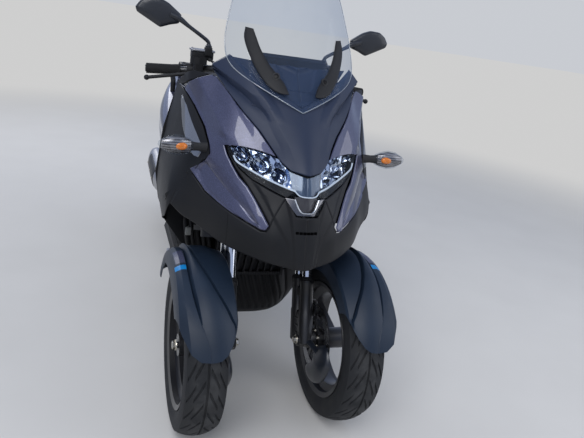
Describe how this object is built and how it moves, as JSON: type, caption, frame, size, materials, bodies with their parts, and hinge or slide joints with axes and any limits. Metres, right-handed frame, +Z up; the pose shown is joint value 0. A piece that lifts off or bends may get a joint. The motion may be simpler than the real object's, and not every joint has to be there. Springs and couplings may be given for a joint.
{
  "type": "leaning three-wheel scooter",
  "caption": "Leaning scooter with two steered front wheels, one rear wheel, a tall windscreen, a seat over a storage tub and folding stands.",
  "frame": {"origin": "centre of the footprint box on the floor", "axes": "+X to the rider's left, +Y rearward along the vehicle, +Z up"},
  "size_m": [0.866, 2.2484, 1.47],
  "materials": {
    "frame_paint": "black paint",
    "hood_paint": "matt blue-grey",
    "panel_paint": "gloss grey-violet",
    "dark_plastic": "matt charcoal plastic",
    "clear_lens": "clear lens",
    "lamp_chrome": "bright reflector",
    "screen_clear": "clear screen",
    "red_lens": "red lens",
    "cast_dark": "black cast metal",
    "chrome": "hard chrome",
    "aluminium": "cast aluminium",
    "tyre": "road tyre",
    "wheel_paint": "satin black wheel",
    "seat_cover": "black seat cover",
    "grip_rubber": "black rubber",
    "steel": "bare steel",
    "plate_white": "blank white plate",
    "radiator_black": "olive black"
  },
  "bodies": {
    "chassis": {"frame": "frame_paint", "front_hood": "hood_paint", "side_panel_left": "panel_paint", "side_panel_right": "panel_paint", "nose_cover": "dark_plastic", "headlamp_housing": "lamp_chrome", "headlamp_lens": "clear_lens", "dash_cowl": "dark_plastic", "windscreen": "screen_clear", "screen_trims": "dark_plastic", "indicator_left": "clear_lens", "indicator_right": "clear_lens", "leg_shield": "dark_plastic", "instrument_panel": "dark_plastic", "floorboard": "dark_plastic", "side_skirt_left": "panel_paint", "side_skirt_right": "panel_paint", "riser_panel": "dark_plastic", "rear_cowl_left": "panel_paint", "rear_cowl_right": "panel_paint", "tail_cowl": "dark_plastic", "tail_lamp": "red_lens", "storage_tub": "dark_plastic", "grab_rail": "aluminium", "plate_carrier": "dark_plastic", "number_plate": "plate_white", "engine_block": "cast_dark", "transmission_case": "aluminium", "swing_arm": "cast_dark", "muffler": "steel", "rear_shock_left": "steel", "rear_shock_right": "steel", "radiator": "radiator_black", "lean_linkage": "cast_dark"},
    "steering": {"steering_column": "cast_dark", "handlebar": "frame_paint", "grip_left": "grip_rubber", "grip_right": "grip_rubber", "control_left": "dark_plastic", "control_right": "dark_plastic", "mirror_left": "dark_plastic", "mirror_right": "dark_plastic"},
    "seat": {"seat_cushion": "seat_cover", "seat_pan": "dark_plastic"},
    "side_stand": {"side_stand": "frame_paint"},
    "centre_stand": {"centre_stand": "frame_paint"},
    "rear_wheel": {"tyre_rear": "tyre", "wheel_rear": "wheel_paint"},
    "fork_left": {"fork_tubes_left": "chrome", "fork_slider_left": "cast_dark", "fender_left": "hood_paint"},
    "front_wheel_left": {"tyre_front_left": "tyre", "wheel_front_left": "wheel_paint"},
    "tie_rod_left": {"tie_rod_left": "steel"},
    "fork_right": {"fork_tubes_right": "chrome", "fork_slider_right": "cast_dark", "fender_right": "hood_paint"},
    "front_wheel_right": {"tyre_front_right": "tyre", "wheel_front_right": "wheel_paint"},
    "tie_rod_right": {"tie_rod_right": "steel"}
  },
  "joints": [
    {"name": "steering_turn", "type": "hinge", "parent": "chassis", "child": "steering", "pos_m": [0, -0.63838, 0.75175], "axis": [0, 0.342, 0.9397], "range_deg": [-30, 30]},
    {"name": "rear_wheel_spin", "type": "hinge", "parent": "chassis", "child": "rear_wheel", "pos_m": [0, 0.751, 0.282], "axis": [1, 0, 0], "continuous": true},
    {"name": "seat_hinge", "type": "hinge", "parent": "chassis", "child": "seat", "pos_m": [0, -0.029, 0.692], "axis": [1, 0, 0], "range_deg": [0, 80]},
    {"name": "side_stand_fold", "type": "hinge", "parent": "chassis", "child": "side_stand", "pos_m": [0.112, 0.086, 0.215], "axis": [-1, 0, 0], "range_deg": [0, 100]},
    {"name": "centre_stand_fold", "type": "hinge", "parent": "chassis", "child": "centre_stand", "pos_m": [0, 0.396, 0.19], "axis": [1, 0, 0], "range_deg": [0, 75]},
    {"name": "fork_left_turn", "type": "hinge", "parent": "chassis", "child": "fork_left", "pos_m": [0.185, -0.66061, 0.69067], "axis": [0, 0.342, 0.9397], "range_deg": [-30, 30]},
    {"name": "front_wheel_left_spin", "type": "hinge", "parent": "fork_left", "child": "front_wheel_left", "pos_m": [0.235, -0.844, 0.262], "axis": [1, 0, 0], "continuous": true},
    {"name": "tie_rod_left_turn", "type": "hinge", "parent": "steering", "child": "tie_rod_left", "pos_m": [0.03, -0.63399, 0.5884], "axis": [0, 0.342, 0.9397], "range_deg": [-30, 30]},
    {"name": "fork_right_turn", "type": "hinge", "parent": "chassis", "child": "fork_right", "pos_m": [-0.185, -0.66061, 0.69067], "axis": [0, 0.342, 0.9397], "range_deg": [-30, 30]},
    {"name": "front_wheel_right_spin", "type": "hinge", "parent": "fork_right", "child": "front_wheel_right", "pos_m": [-0.235, -0.844, 0.262], "axis": [1, 0, 0], "continuous": true},
    {"name": "tie_rod_right_turn", "type": "hinge", "parent": "steering", "child": "tie_rod_right", "pos_m": [-0.03, -0.63399, 0.5884], "axis": [0, 0.342, 0.9397], "range_deg": [-30, 30]}
  ],
  "couplings": [
    {"joint": "fork_left_turn", "follows": "steering_turn", "ratio": 1},
    {"joint": "tie_rod_left_turn", "follows": "steering_turn", "ratio": -1},
    {"joint": "fork_right_turn", "follows": "steering_turn", "ratio": 1},
    {"joint": "tie_rod_right_turn", "follows": "steering_turn", "ratio": -1}
  ]
}
